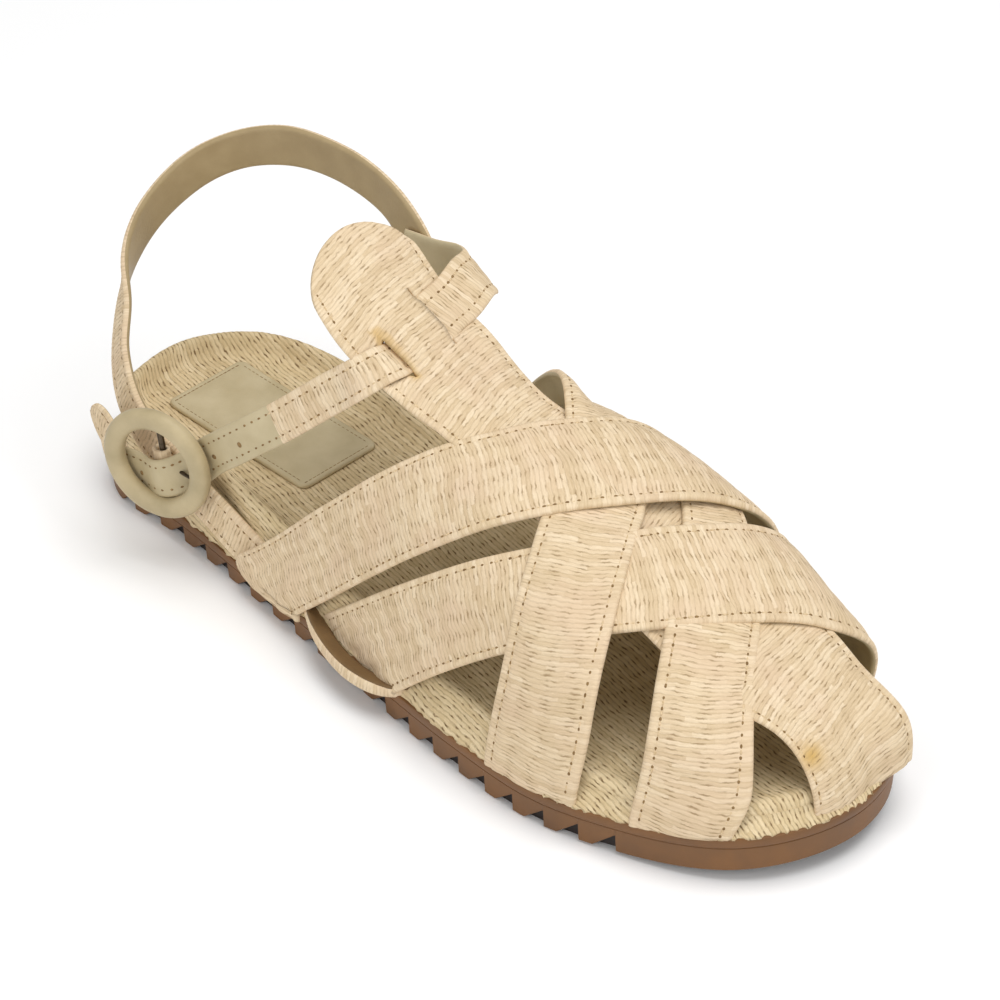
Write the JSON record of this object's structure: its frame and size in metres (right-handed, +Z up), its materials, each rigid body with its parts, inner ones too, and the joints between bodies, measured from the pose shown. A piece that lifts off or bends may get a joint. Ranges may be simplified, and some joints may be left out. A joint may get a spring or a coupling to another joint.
{
  "type": "raffia sandal",
  "caption": "Woven raffia fisherman sandal for the right foot with a heel sling, a slotted tongue, an ankle strap with a ring buckle and a saw-tooth rubber sole.",
  "frame": {"origin": "middle of the bounding box, on the floor under the sole", "axes": "+X from heel to toe, +Y to the inner side of the foot, +Z up"},
  "size_m": [0.2596, 0.0942, 0.1024],
  "materials": {
    "rubber": "matt brown rubber",
    "raffia": "woven raffia, dry",
    "raffia_footbed": "woven raffia, dry",
    "leather": "smooth, low gloss",
    "metal": "dark plated"
  },
  "bodies": {
    "root": {"outsole": "rubber", "footbed": "raffia_footbed", "footbed_patch": "leather", "upper": "raffia", "heel_strap": "raffia", "ankle_strap": "raffia", "buckle_ring": "leather", "buckle_bar": "metal", "buckle_loop": "leather", "buckle_prong": "metal"}
  },
  "joints": []
}
